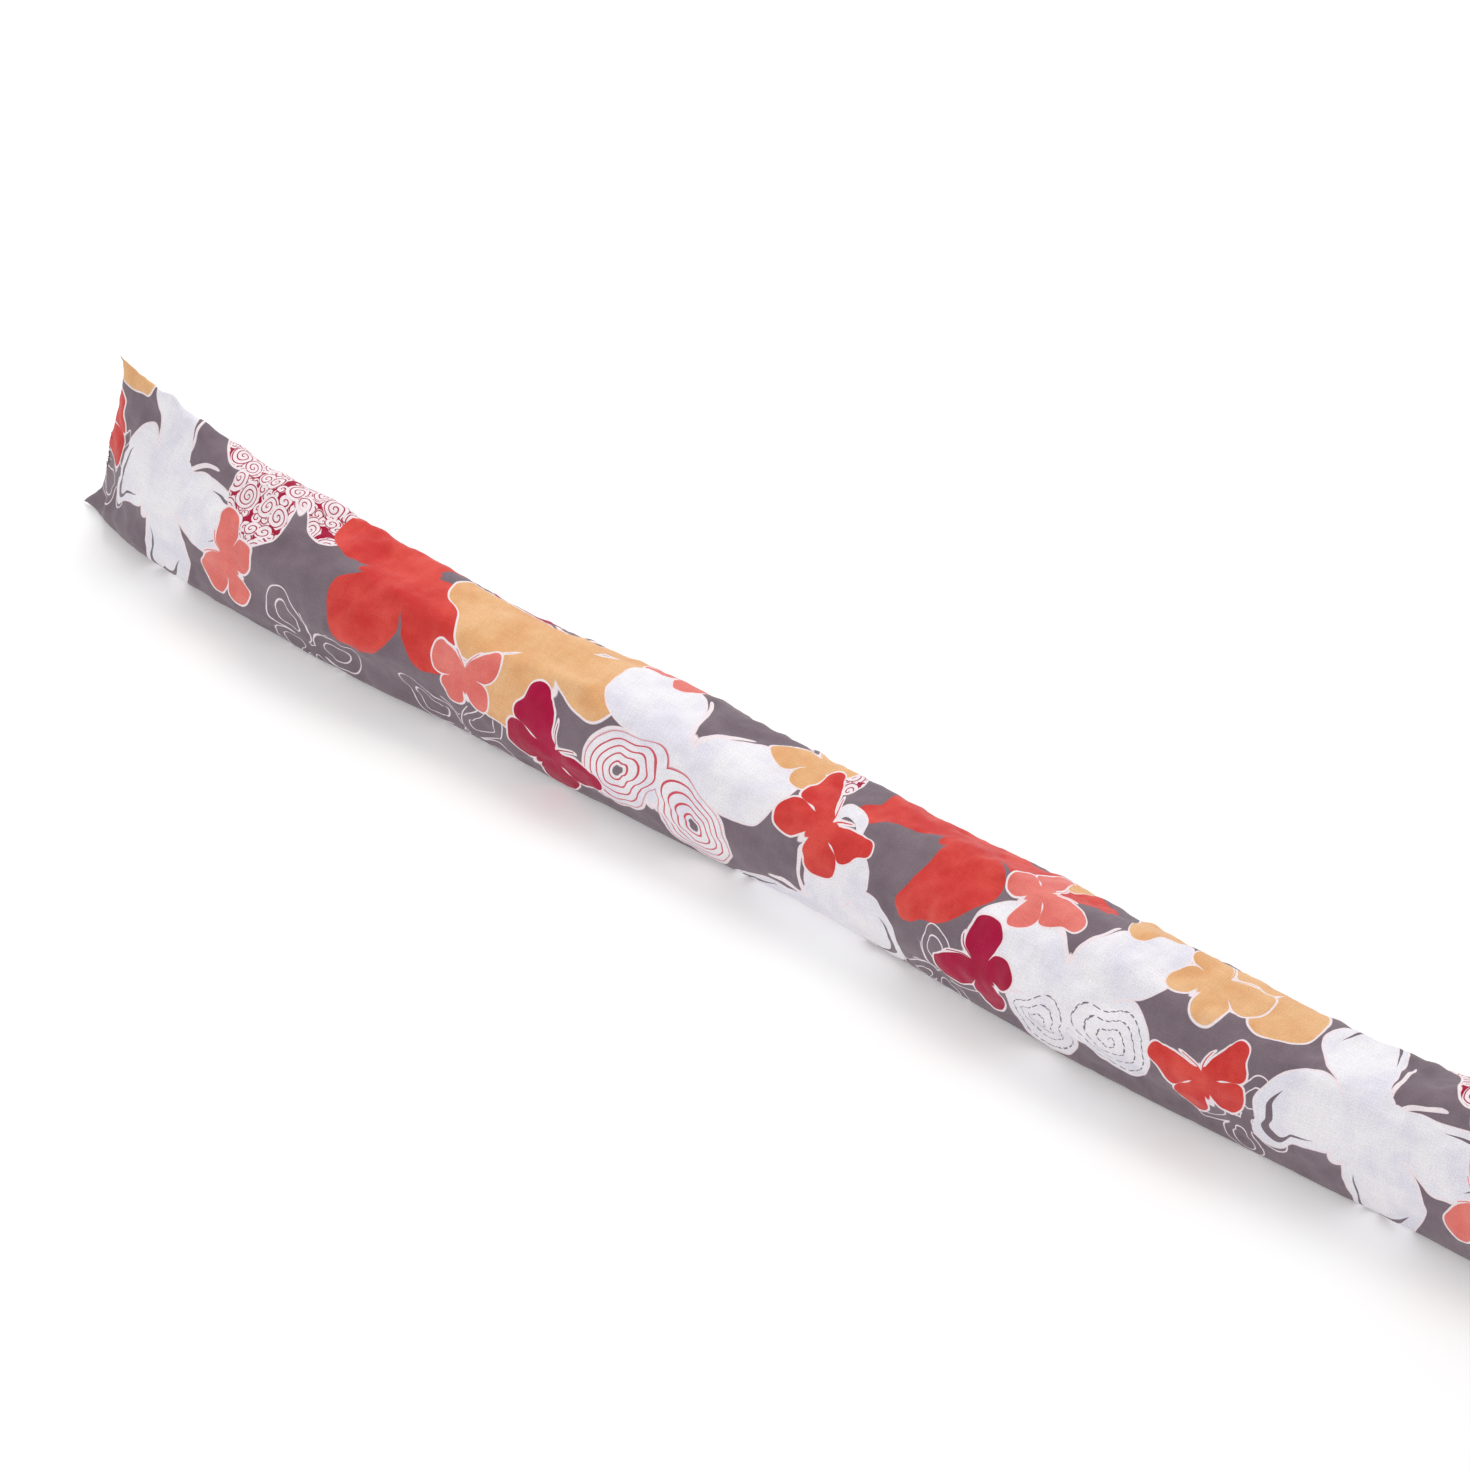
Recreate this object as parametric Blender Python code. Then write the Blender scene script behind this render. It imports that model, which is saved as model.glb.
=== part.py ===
"""Draught excluder: a long tube of printed cotton, sewn flat across both ends and filled with fibre.

It lies on the floor along X. Its origin is on the floor, under the middle of its box. Metres, +Z up.
The cover's two sewn ends stand on edge: each has a lower corner on the floor and an upper one in the air.
"""

import math

import bmesh
import bpy

LENGTH = 1.200  # between the outermost corners of the two ends
CLOTH_AROUND = 0.252  # round the filled tube, outside
SEAM_HALF_HEIGHT = 0.0610  # half of an end seam, from corner to corner
SEAM_HALF_THICKNESS = 0.0011  # two layers of cloth and their turnings
FLOOR_PRESS = 0.0021  # how far the round body is pressed flat by its weight
END_REACH = 0.150  # from an end seam to where the tube is fully round
OPENING_POWER = 0.52  # under 1, the sides bulge out steeply next to the seam
RIDGE_POWER = 1.2  # how evenly the corners' ridges run down into the round body
EAR_REACH = 0.050  # from the seam to where the ears no longer stick out
LOW_EAR = 0.10  # the lower ear's share of the seam
HIGH_EAR = 0.045  # the upper ear's share of the seam
EAR_SHARPNESS = 1.5  # how sharply an ear turns into the seam
DRAW_FADE = 0.6  # how much less the seam is drawn in at its top than at its foot

STATIONS_AT_END = 17  # closed sections in each end
BODY_STEP = 0.024  # between sections in the body
POINTS_UP_A_SIDE = 20  # steps from the lower to the upper corner, on each side
FINE_STEPS = 6  # finer steps in each of those, for measuring the cloth's length up a side
CROWDING = 1.35  # over 1, the sections crowd towards the seam

# The two ends. Lean: how far the upper corner stands further in than the lower one.
# Draw: how far the seam is pulled in between its two ears, most of it above the lower one.
# Pear: under 1, the filling sits low and the upper corner is a thin fin.
# Pinch: over 1, the corners are thin ears beside a round belly.
END_COLUMNS = ("lean", "draw", "pear", "pinch")
ENDS = {
    "left": (0.0375, 0.0155, 0.74, 1.35),
    "right": (0.0180, 0.0120, 0.80, 1.35),
}

# How the filling varies, from the left corner on: width against the mean, and sideways shift.
FILL_COLUMNS = ("along", "width", "shift")
FILL_ROWS = (
    (0.00, 1.020, 0.0000),
    (0.12, 1.030, 0.0000),
    (0.19, 1.048, -0.0035),
    (0.26, 1.008, -0.0040),
    (0.34, 0.950, 0.0000),
    (0.42, 0.992, 0.0000),
    (0.49, 0.985, 0.0020),
    (0.58, 0.952, 0.0045),
    (0.66, 0.957, 0.0025),
    (0.72, 1.012, -0.0010),
    (0.79, 1.030, -0.0045),
    (0.86, 1.008, -0.0030),
    (0.93, 0.968, -0.0010),
    (1.02, 0.990, 0.0020),
    (1.10, 1.025, 0.0010),
    (1.20, 1.015, 0.0000),
)

# The main folds near the ends. Across: height up the side, 0 at the lower corner and 1 at the upper.
# In: distance of the fold's middle from the seam. Long and wide: half its reach along and up the side.
FOLD_COLUMNS = ("end", "side", "across", "in", "long", "wide", "deep")
DEEPEST_FOLD = 0.6  # a fold's most depth, as a share of how far the side stands out there
FOLD_ROWS = (
    ("left", "front", 0.86, 0.050, 0.030, 0.0070, 0.0026),
    ("left", "front", 0.62, 0.026, 0.024, 0.0065, 0.0018),
    ("left", "front", 0.34, 0.022, 0.022, 0.0060, 0.0016),
    ("left", "back", 0.80, 0.040, 0.030, 0.0070, 0.0022),
    ("left", "back", 0.50, 0.024, 0.024, 0.0065, 0.0018),
    ("left", "back", 0.26, 0.030, 0.026, 0.0065, 0.0018),
    ("right", "front", 0.78, 0.036, 0.030, 0.0070, 0.0022),
    ("right", "front", 0.52, 0.024, 0.024, 0.0065, 0.0018),
    ("right", "front", 0.28, 0.028, 0.026, 0.0065, 0.0016),
    ("right", "back", 0.84, 0.044, 0.030, 0.0070, 0.0024),
    ("right", "back", 0.58, 0.026, 0.024, 0.0065, 0.0018),
    ("right", "back", 0.32, 0.022, 0.022, 0.0060, 0.0016),
)

GROUND_COLOUR = (0.170, 0.130, 0.155, 1.0)  # the print's warm grey ground, linear
CLOTH_ROUGHNESS = 0.85

BODY_RADIUS = CLOTH_AROUND / (2.0 * math.pi)


def named_rows(columns, rows):
    """A table's rows as dictionaries."""
    return [dict(zip(columns, row)) for row in rows]


def smooth(t):
    """From 0 to 1 with level ends."""
    t = min(1.0, max(0.0, t))
    return t * t * (3.0 - 2.0 * t)


def filling_at(along, column):
    """A column of the filling table at a place along the tube, eased from row to row."""
    rows = named_rows(FILL_COLUMNS, FILL_ROWS)
    for low, high in zip(rows, rows[1:]):
        if along <= high["along"]:
            part = smooth((along - low["along"]) / (high["along"] - low["along"]))
            return low[column] + part * (high[column] - low[column])
    return rows[-1][column]


def side_profile(half_width, half_height, pear, pinch, steps):
    """One side of a section from its lower to its upper corner, as evenly spaced (out, up) points."""
    fine = FINE_STEPS * steps
    raw = []
    for i in range(fine + 1):
        part = i / fine
        out = half_width * max(0.0, math.sin(math.pi * part**pear)) ** pinch
        raw.append((out, -half_height * math.cos(math.pi * part)))
    lengths = [0.0]
    for (a, b), (c, d) in zip(raw, raw[1:]):
        lengths.append(lengths[-1] + math.hypot(c - a, d - b))
    points = []
    at = 0
    for i in range(steps + 1):
        wanted = lengths[-1] * i / steps
        while at < fine - 1 and lengths[at + 1] < wanted:
            at += 1
        part = (wanted - lengths[at]) / (lengths[at + 1] - lengths[at])
        low, high = raw[at], raw[at + 1]
        points.append(tuple(p + part * (q - p) for p, q in zip(low, high)))
    return points


def section_size(reach, radius):
    """Half width and half height of a section, from flat at the seam (0) to round (1)."""
    opening = (1.0 - (1.0 - reach) ** 2) ** OPENING_POWER
    half_width = SEAM_HALF_THICKNESS + opening * (radius - SEAM_HALF_THICKNESS)
    half_height = radius + (SEAM_HALF_HEIGHT - radius) * (1.0 - reach) ** RIDGE_POWER
    return half_width, half_height


def inward_shift(end, distance, part):
    """How far a point is drawn in along the tube, by its distance from the seam and place up the side."""
    low_ear = 1.0 - math.exp(-((part / LOW_EAR) ** EAR_SHARPNESS))
    high_ear = 1.0 - math.exp(-(((1.0 - part) / HIGH_EAR) ** EAR_SHARPNESS))
    lean = end["lean"] * part * (1.0 - smooth(distance / END_REACH))
    draw = end["draw"] * (1.0 - DRAW_FADE * part) * (1.0 - smooth(distance / EAR_REACH))
    return lean + draw * low_ear * high_ear


def fold_depth(end, side, distance, part):
    """How far the main folds press a point in, by its distance from the seam and place up the side."""
    depth = 0.0
    for fold in named_rows(FOLD_COLUMNS, FOLD_ROWS):
        if fold["end"] != end or fold["side"] != side:
            continue
        across = (part - fold["across"]) * CLOTH_AROUND / 2.0 / fold["wide"]
        along = (distance - fold["in"]) / fold["long"]
        depth += fold["deep"] * math.exp(-(across**2) - along**2)
    return depth


def section(end_name, distance):
    """A closed section as (across, up, inward) points, where inward is the extra shift along the tube."""
    end = dict(zip(END_COLUMNS, ENDS[end_name]))
    along = distance if end_name == "left" else LENGTH - distance
    radius = BODY_RADIUS * filling_at(along, "width")
    reach = min(1.0, distance / END_REACH)
    closed = 1.0 - smooth(reach)
    half_width, half_height = section_size(reach, radius)
    pear = 1.0 - (1.0 - end["pear"]) * closed
    pinch = 1.0 + (end["pinch"] - 1.0) * closed
    centre = half_height - FLOOR_PRESS * smooth(2.0 * reach)
    shift = filling_at(along, "shift") * smooth(reach)
    profile = side_profile(half_width, half_height, pear, pinch, POINTS_UP_A_SIDE)
    sides = {}
    for side, sign in (("front", -1.0), ("back", 1.0)):
        sides[side] = []
        for i, (out, up) in enumerate(profile):
            part = i / POINTS_UP_A_SIDE
            press = min(fold_depth(end_name, side, distance, part), DEEPEST_FOLD * out)
            across = shift + sign * (out - press)
            inward = inward_shift(end, distance, part)
            sides[side].append((across, max(0.0, centre + up), inward))
    return sides["front"] + sides["back"][-2:0:-1]


def stations():
    """Where the sections are: the end each is measured from, and its distance from that end."""
    near = [END_REACH * (i / STATIONS_AT_END) ** CROWDING for i in range(STATIONS_AT_END)]
    steps = round((LENGTH - 2.0 * END_REACH) / BODY_STEP)
    body = [END_REACH + (LENGTH - 2.0 * END_REACH) * i / steps for i in range(steps + 1)]
    left = [("left", distance) for distance in near]
    middle = [("left", d) if d < LENGTH / 2.0 else ("right", LENGTH - d) for d in body]
    right = [("right", distance) for distance in reversed(near)]
    return left + middle + right


def filled_tube_mesh():
    """The tube lofted through its sections and closed across both seams, its box centred on the origin."""
    mesh = bmesh.new()
    rings = []
    for end_name, distance in stations():
        ring = []
        for across, up, inward in section(end_name, distance):
            along = distance + inward
            x = along - LENGTH / 2.0 if end_name == "left" else LENGTH / 2.0 - along
            ring.append(mesh.verts.new((x, across, up)))
        rings.append(ring)
    count = len(rings[0])
    for low, high in zip(rings, rings[1:]):
        for i in range(count):
            j = (i + 1) % count
            mesh.faces.new((low[i], high[i], high[j], low[j]))
    for ring in (rings[0], rings[-1]):
        for i in range(POINTS_UP_A_SIDE):
            front_low, front_high = ring[i], ring[i + 1]
            back_low, back_high = ring[-i] if i else ring[0], ring[-(i + 1)]
            corners = [front_low, front_high, back_high, back_low]
            mesh.faces.new([v for k, v in enumerate(corners) if v not in corners[:k]])
    bmesh.ops.recalc_face_normals(mesh, faces=mesh.faces)
    places = [[vertex.co[axis] for vertex in mesh.verts] for axis in range(3)]
    middle_x, middle_y = ((min(values) + max(values)) / 2.0 for values in places[:2])
    for vertex in mesh.verts:
        vertex.co.x -= middle_x
        vertex.co.y -= middle_y
    return mesh


def cloth_material():
    """The printed cotton, in the colour of the print's ground."""
    material = bpy.data.materials.new("printed_cotton")
    material.use_nodes = True
    shader = material.node_tree.nodes["Principled BSDF"]
    shader.inputs["Base Color"].default_value = GROUND_COLOUR
    shader.inputs["Roughness"].default_value = CLOTH_ROUGHNESS
    shader.inputs["Metallic"].default_value = 0.0
    return material


def make_filled_tube():
    """The cover and its filling as one solid."""
    mesh = filled_tube_mesh()
    data = bpy.data.meshes.new("filled_tube")
    mesh.to_mesh(data)
    mesh.free()
    data.shade_smooth()
    data.materials.append(cloth_material())
    tube = bpy.data.objects.new("filled_tube", data)
    bpy.context.scene.collection.objects.link(tube)
    return tube


for old in list(bpy.data.objects):
    bpy.data.objects.remove(old, do_unlink=True)
make_filled_tube()
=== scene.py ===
"""The look of a draught excluder: a long tube of printed cotton, sewn flat across both ends and filled."""

import math

import bpy
import numpy as np
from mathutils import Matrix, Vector


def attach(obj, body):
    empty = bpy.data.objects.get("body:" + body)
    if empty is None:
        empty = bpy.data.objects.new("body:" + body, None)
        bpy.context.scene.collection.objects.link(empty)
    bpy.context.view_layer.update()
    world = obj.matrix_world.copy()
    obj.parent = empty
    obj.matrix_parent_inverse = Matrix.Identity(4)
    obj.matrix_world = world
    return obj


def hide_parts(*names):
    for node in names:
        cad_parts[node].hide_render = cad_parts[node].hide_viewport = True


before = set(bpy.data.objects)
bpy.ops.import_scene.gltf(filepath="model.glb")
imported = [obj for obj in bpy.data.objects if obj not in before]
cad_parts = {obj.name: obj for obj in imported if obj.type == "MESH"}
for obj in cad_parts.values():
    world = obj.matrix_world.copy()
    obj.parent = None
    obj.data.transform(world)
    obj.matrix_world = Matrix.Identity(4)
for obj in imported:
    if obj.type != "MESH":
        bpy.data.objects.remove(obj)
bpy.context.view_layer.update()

# The tube's own sizes, in metres, as in its solid.
LENGTH = 1.200
CLOTH_AROUND = 0.252
SEAM_HALF_HEIGHT = 0.0610
SEAM_HALF_THICKNESS = 0.0011
FLOOR_PRESS = 0.0021
END_REACH = 0.150
OPENING_POWER = 0.52
RIDGE_POWER = 1.2
EAR_REACH = 0.050
LOW_EAR = 0.10
HIGH_EAR = 0.045
EAR_SHARPNESS = 1.5
DRAW_FADE = 0.6
END_COLUMNS = ("lean", "draw", "pear", "pinch")
ENDS = {
    "left": (0.0375, 0.0155, 0.74, 1.35),
    "right": (0.0180, 0.0120, 0.80, 1.35),
}
FILL_COLUMNS = ("along", "width", "shift")
FILL_ROWS = (
    (0.00, 1.020, 0.0000),
    (0.12, 1.030, 0.0000),
    (0.19, 1.048, -0.0035),
    (0.26, 1.008, -0.0040),
    (0.34, 0.950, 0.0000),
    (0.42, 0.992, 0.0000),
    (0.49, 0.985, 0.0020),
    (0.58, 0.952, 0.0045),
    (0.66, 0.957, 0.0025),
    (0.72, 1.012, -0.0010),
    (0.79, 1.030, -0.0045),
    (0.86, 1.008, -0.0030),
    (0.93, 0.968, -0.0010),
    (1.02, 0.990, 0.0020),
    (1.10, 1.025, 0.0010),
    (1.20, 1.015, 0.0000),
)
BODY_RADIUS = CLOTH_AROUND / (2.0 * math.pi)

# The main folds near the ends, as in the solid: their place up the side, distance from the seam and size.
FOLD_COLUMNS = ("end", "side", "across", "in", "long", "wide", "deep")
DEEPEST_FOLD = 0.6
FOLD_ROWS = (
    ("left", "front", 0.86, 0.050, 0.030, 0.0070, 0.0026),
    ("left", "front", 0.94, 0.058, 0.010, 0.0040, 0.0030),
    ("left", "front", 0.62, 0.026, 0.024, 0.0065, 0.0018),
    ("left", "front", 0.34, 0.022, 0.022, 0.0060, 0.0016),
    ("left", "back", 0.80, 0.040, 0.030, 0.0070, 0.0022),
    ("left", "back", 0.50, 0.024, 0.024, 0.0065, 0.0018),
    ("left", "back", 0.26, 0.030, 0.026, 0.0065, 0.0018),
    ("right", "front", 0.78, 0.036, 0.030, 0.0070, 0.0022),
    ("right", "front", 0.52, 0.024, 0.024, 0.0065, 0.0018),
    ("right", "front", 0.28, 0.028, 0.026, 0.0065, 0.0016),
    ("right", "back", 0.84, 0.044, 0.030, 0.0070, 0.0024),
    ("right", "back", 0.58, 0.026, 0.024, 0.0065, 0.0018),
    ("right", "back", 0.32, 0.022, 0.022, 0.0060, 0.0016),
)

# Small tucks that stand up along the top near the ends: end, distance from the seam, half length and height.
TUCK_COLUMNS = ("end", "in", "half_length", "high")
TUCK_ROWS = (
    ("left", 0.056, 0.0080, 0.0044),
    ("left", 0.098, 0.0110, 0.0014),
    ("right", 0.064, 0.0090, 0.0026),
)
TUCK_HALF_WIDTH = 0.010

# The strip beside each end seam rises evenly to a soft ridge; its lower corner stays flat, like an ear.
TIP_CREASE = 0.6
STRIP = 0.012
STRIP_SLOPE = 0.72
STRIP_STRETCH = 0.003
EAR_FLAT = 0.009
EAR_SLOPE = 0.15
EAR_STEP = 1.35
EAR_PART = 0.12

# The light.
FLOOR_GLOW = 0.25
ROOM_LIGHT = 0.67
KEY_POWER = 31.0
TOP_POWER = 9.0

# The stitches that close the filling's opening, by their share of the seam's height.
STITCHES = 7
STITCH_FROM, STITCH_TO = 0.31, 0.50
STITCH_SLANT = 0.012
STITCH_REACH = 0.0022
STITCH_STEPS = 8
STITCH_PROUD = 0.0003
THREAD_RADIUS = 0.00028

# The fine mesh.
CELL = 0.0040  # about the spacing of its points, along and around
FINE_STEPS = 6
SHEET_EDGE = 0.012

# How the slack cloth settles.
REST_REACH = 0.30
REST_FLATTEST = 0.02
LENGTHWISE_SLACK = 0.027
ROUND_SLACK = 0.002
HOLD = 0.012
END_HOLD = 0.25
END_HOLD_REACH = 0.020
PIN_STIFFNESS = 1.0
STRETCH_STIFFNESS = 20.0
SHEAR_STIFFNESS = 5.0
BENDING_STIFFNESS = 0.15
DAMPING = 5.0
BENDING_DAMPING = 0.5
AIR_DAMPING = 2.0
QUALITY = 8
CLOTH_MASS = 0.3
ON_FLOOR = 0.0005
PRESSURE = 2.6
JITTER = 0.0002
SEED = 7
FRAMES = 30
MOST_MOVE = 0.008

# Small dents that the settling leaves out: their size and depth.
CRUMPLES = ((0.022, 0.0032), (0.010, 0.0021))
CRUMPLE_CLEAR = 0.012


def smooth(t):
    """From 0 to 1 with level ends."""
    t = min(1.0, max(0.0, t))
    return t * t * (3.0 - 2.0 * t)


def filling_at(along, column):
    """A column of the filling table at a place along the tube, eased from row to row."""
    rows = [dict(zip(FILL_COLUMNS, row)) for row in FILL_ROWS]
    for low, high in zip(rows, rows[1:]):
        if along <= high["along"]:
            part = smooth((along - low["along"]) / (high["along"] - low["along"]))
            return low[column] + part * (high[column] - low[column])
    return rows[-1][column]


def side_profile(half_width, half_height, pear, pinch, steps):
    """One side of a section from its lower to its upper corner, as evenly spaced (out, up) points."""
    part = np.linspace(0.0, 1.0, FINE_STEPS * steps + 1)
    out = half_width * np.clip(np.sin(np.pi * part**pear), 0.0, None) ** pinch
    up = -half_height * np.cos(np.pi * part)
    lengths = np.concatenate([[0.0], np.cumsum(np.hypot(np.diff(out), np.diff(up)))])
    wanted = np.linspace(0.0, lengths[-1], steps + 1)
    return np.interp(wanted, lengths, out), np.interp(wanted, lengths, up)


def inward_shift(end, distance, part):
    """How far points are drawn in along the tube, by their distance from the seam and place up the side."""
    low_ear = 1.0 - np.exp(-((part / LOW_EAR) ** EAR_SHARPNESS))
    high_ear = 1.0 - np.exp(-(((1.0 - part) / HIGH_EAR) ** EAR_SHARPNESS))
    lean = end["lean"] * part * (1.0 - smooth(distance / END_REACH))
    draw = end["draw"] * (1.0 - DRAW_FADE * part) * (1.0 - smooth(distance / EAR_REACH))
    return lean + draw * low_ear * high_ear


def section(end_name, distance, steps):
    """A closed section's points as rows of x, y, z: up the front from the lower corner, then down the back."""
    end = dict(zip(END_COLUMNS, ENDS[end_name]))
    along = distance if end_name == "left" else LENGTH - distance
    radius = BODY_RADIUS * filling_at(along, "width")
    reach = min(1.0, distance / END_REACH)
    closed = 1.0 - smooth(reach)
    opening = (1.0 - (1.0 - reach) ** 2) ** OPENING_POWER
    half_width = SEAM_HALF_THICKNESS + opening * (radius - SEAM_HALF_THICKNESS)
    half_height = radius + (SEAM_HALF_HEIGHT - radius) * (1.0 - reach) ** RIDGE_POWER
    pear = 1.0 - (1.0 - end["pear"]) * closed
    pinch = 1.0 + (end["pinch"] - 1.0) * closed
    centre = half_height - FLOOR_PRESS * smooth(2.0 * reach)
    shift = filling_at(along, "shift") * smooth(reach)
    out, up = side_profile(half_width, half_height, pear, pinch, steps)
    part = np.linspace(0.0, 1.0, steps + 1)
    moved = distance + inward_shift(end, distance, part)
    x = moved - LENGTH / 2.0 if end_name == "left" else LENGTH / 2.0 - moved
    z = np.maximum(0.0, centre + up)
    front = np.stack([x, shift - out, z], axis=1)
    back = np.stack([x, shift + out, z], axis=1)
    return np.concatenate([front, back[-2:0:-1]])


def tube_points():
    """The tube's points, station by station along the cloth and round it, centred like the solid."""
    across = round(CLOTH_AROUND / 2.0 / CELL)
    stations = round(LENGTH / CELL)
    rings = []
    for i in range(stations + 1):
        along = LENGTH * i / stations
        if along < LENGTH / 2.0:
            rings.append(section("left", along, across))
        else:
            rings.append(section("right", LENGTH - along, across))
    points = np.array(rings)
    middle = (points.min(axis=(0, 1)) + points.max(axis=(0, 1))) / 2.0
    points[:, :, :2] -= middle[:2]
    return points


def rest_points(stations, around):
    """The slack cloth's own lengths: flat at both seams and opening slowly to round, a little too long."""
    across = around // 2
    part = np.linspace(0.0, 1.0, across + 1)
    rings = []
    for i in range(stations):
        along = LENGTH * i / (stations - 1)
        near = min(1.0, min(along, LENGTH - along) / REST_REACH)
        arc = REST_FLATTEST + (math.pi / 2.0 - REST_FLATTEST) * smooth(near)
        radius = CLOTH_AROUND / 4.0 / arc
        turn = arc * (2.0 * part - 1.0)
        out = radius * (np.cos(turn) - math.cos(arc))
        up = radius * np.sin(turn)
        x = np.full(across + 1, along * (1.0 + LENGTHWISE_SLACK))
        front = np.stack([x, -out, up], axis=1)
        back = np.stack([x, out, up], axis=1)
        rings.append(np.concatenate([front, back[-2:0:-1]]))
    return np.array(rings) * np.array([1.0, 1.0 + ROUND_SLACK, 1.0 + ROUND_SLACK])


def settled(points):
    """The points after the slack cloth has settled over the filling, by cloth simulation."""
    stations, around = points.shape[:2]
    across = around // 2
    index = np.arange(stations * around).reshape(stations, around)
    for i in (0, stations - 1):
        for j in range(1, across):
            index[i, -j] = index[i, j]
    kept, index = np.unique(index, return_inverse=True)
    index = index.reshape(stations, around)
    start = points.copy()
    start[[0, -1], :, 1] = start[[0, -1], 0, 1][:, None]
    start = start.reshape(-1, 3)[kept]
    rest = rest_points(stations, around)
    rest[[0, -1], :, 1] = 0.0
    rest = rest.reshape(-1, 3)[kept]
    quads = [
        (index[i, j], index[i, (j + 1) % around], index[i + 1, (j + 1) % around], index[i + 1, j])
        for i in range(stations - 1)
        for j in range(around)
    ]
    mesh = bpy.data.meshes.new("settling")
    mesh.from_pydata(start.tolist(), [], [tuple(int(v) for v in quad) for quad in quads])
    cloth = bpy.data.objects.new("settling", mesh)
    bpy.context.scene.collection.objects.link(cloth)
    cloth.shape_key_add(name="Basis")
    key = cloth.shape_key_add(name="Slack")
    key.data.foreach_set("co", rest.ravel())
    key.value = 0.0
    held = cloth.vertex_groups.new(name="held")
    on_floor = start[:, 2] < ON_FLOOR
    for i in range(stations):
        along = LENGTH * i / (stations - 1)
        near = 1.0 - smooth(min(along, LENGTH - along) / END_HOLD_REACH)
        held.add(np.unique(index[i]).tolist(), HOLD + (END_HOLD - HOLD) * near, "REPLACE")
    held.add(np.flatnonzero(on_floor).tolist(), 1.0, "REPLACE")
    jitter = np.random.default_rng(SEED).normal(0.0, JITTER, start.shape)
    shaken = start + jitter * ~on_floor[:, None]
    cloth.data.shape_keys.key_blocks["Basis"].data.foreach_set("co", shaken.ravel())
    modifier = cloth.modifiers.new("Cloth", "CLOTH")
    settings = modifier.settings
    settings.quality = QUALITY
    settings.mass = CLOTH_MASS
    settings.tension_stiffness = settings.compression_stiffness = STRETCH_STIFFNESS
    settings.shear_stiffness = SHEAR_STIFFNESS
    settings.bending_stiffness = BENDING_STIFFNESS
    settings.tension_damping = settings.compression_damping = settings.shear_damping = DAMPING
    settings.bending_damping = BENDING_DAMPING
    settings.air_damping = AIR_DAMPING
    settings.use_pressure = True
    settings.uniform_pressure_force = PRESSURE
    settings.rest_shape_key = cloth.data.shape_keys.key_blocks["Slack"]
    settings.vertex_group_mass = "held"
    settings.pin_stiffness = PIN_STIFFNESS
    settings.effector_weights.gravity = 0.0
    modifier.collision_settings.use_collision = False
    modifier.point_cache.frame_start = 1
    modifier.point_cache.frame_end = FRAMES
    scene = bpy.context.scene
    for number in range(1, FRAMES + 1):
        scene.frame_set(number)
    evaluated = cloth.evaluated_get(bpy.context.evaluated_depsgraph_get())
    places = np.empty(len(evaluated.data.vertices) * 3)
    evaluated.data.vertices.foreach_get("co", places)
    places = places.reshape(-1, 3)
    scene.frame_set(1)
    bpy.data.objects.remove(cloth, do_unlink=True)
    bpy.data.meshes.remove(mesh)
    move = places[index] - start[index]
    far = np.linalg.norm(move, axis=2, keepdims=True)
    move *= np.minimum(1.0, MOST_MOVE / np.maximum(far, 1e-9))
    result = points + move
    result[:, :, 2] = np.maximum(result[:, :, 2], 0.0)
    return result


def strip_limit(distance, part):
    """How far a side stands out beside its end seam, at most."""
    ridge = np.where(distance < STRIP, STRIP_SLOPE * distance, 1.0)
    flat = EAR_SLOPE * distance + EAR_STEP * np.maximum(0.0, distance - EAR_FLAT)
    ear = np.array([1.0 - smooth((p - EAR_PART) / EAR_PART) for p in part])
    return SEAM_HALF_THICKNESS + ridge + (np.minimum(flat, ridge) - ridge) * ear


def folded(points):
    """The points with the seams' strips shaped, the main folds pressed in and the small tucks raised."""
    stations, around = points.shape[:2]
    across = around // 2
    step = np.arange(around)
    part = np.where(step <= across, step, around - step) / across
    front = (step > 0) & (step < across)
    back = step > across
    middle = points[:, :, 1].mean(axis=1)
    result = points.copy()
    for i in range(stations):
        along = LENGTH * i / (stations - 1)
        end = "left" if along < LENGTH / 2.0 else "right"
        distance = min(along, LENGTH - along)
        out = np.abs(points[i, :, 1] - middle[i])
        over = np.maximum(0.0, out - strip_limit(distance, part))
        result[i, :, 1] -= np.sign(points[i, :, 1] - middle[i]) * over
        outward = -1.0 if end == "left" else 1.0
        result[i, :, 0] += outward * STRIP_STRETCH * max(0.0, 1.0 - distance / STRIP) * (1.0 - part)
        out = out - over
        for side, mask, sign in (("front", front, 1.0), ("back", back, -1.0)):
            press = np.zeros(around)
            for row in FOLD_ROWS:
                fold = dict(zip(FOLD_COLUMNS, row))
                if (fold["end"], fold["side"]) == (end, side):
                    up = (part - fold["across"]) * CLOTH_AROUND / 2.0 / fold["wide"]
                    press += fold["deep"] * np.exp(-(up**2) - ((distance - fold["in"]) / fold["long"]) ** 2)
            result[i, :, 1] += sign * np.minimum(press, DEEPEST_FOLD * out) * mask
        for row in TUCK_ROWS:
            tuck = dict(zip(TUCK_COLUMNS, row))
            if tuck["end"] == end:
                aside = (1.0 - part) * CLOTH_AROUND / 2.0 / TUCK_HALF_WIDTH
                lift = np.exp(-(aside**2) - ((distance - tuck["in"]) / tuck["half_length"]) ** 2)
                result[i, :, 2] += tuck["high"] * lift
    return result


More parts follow.
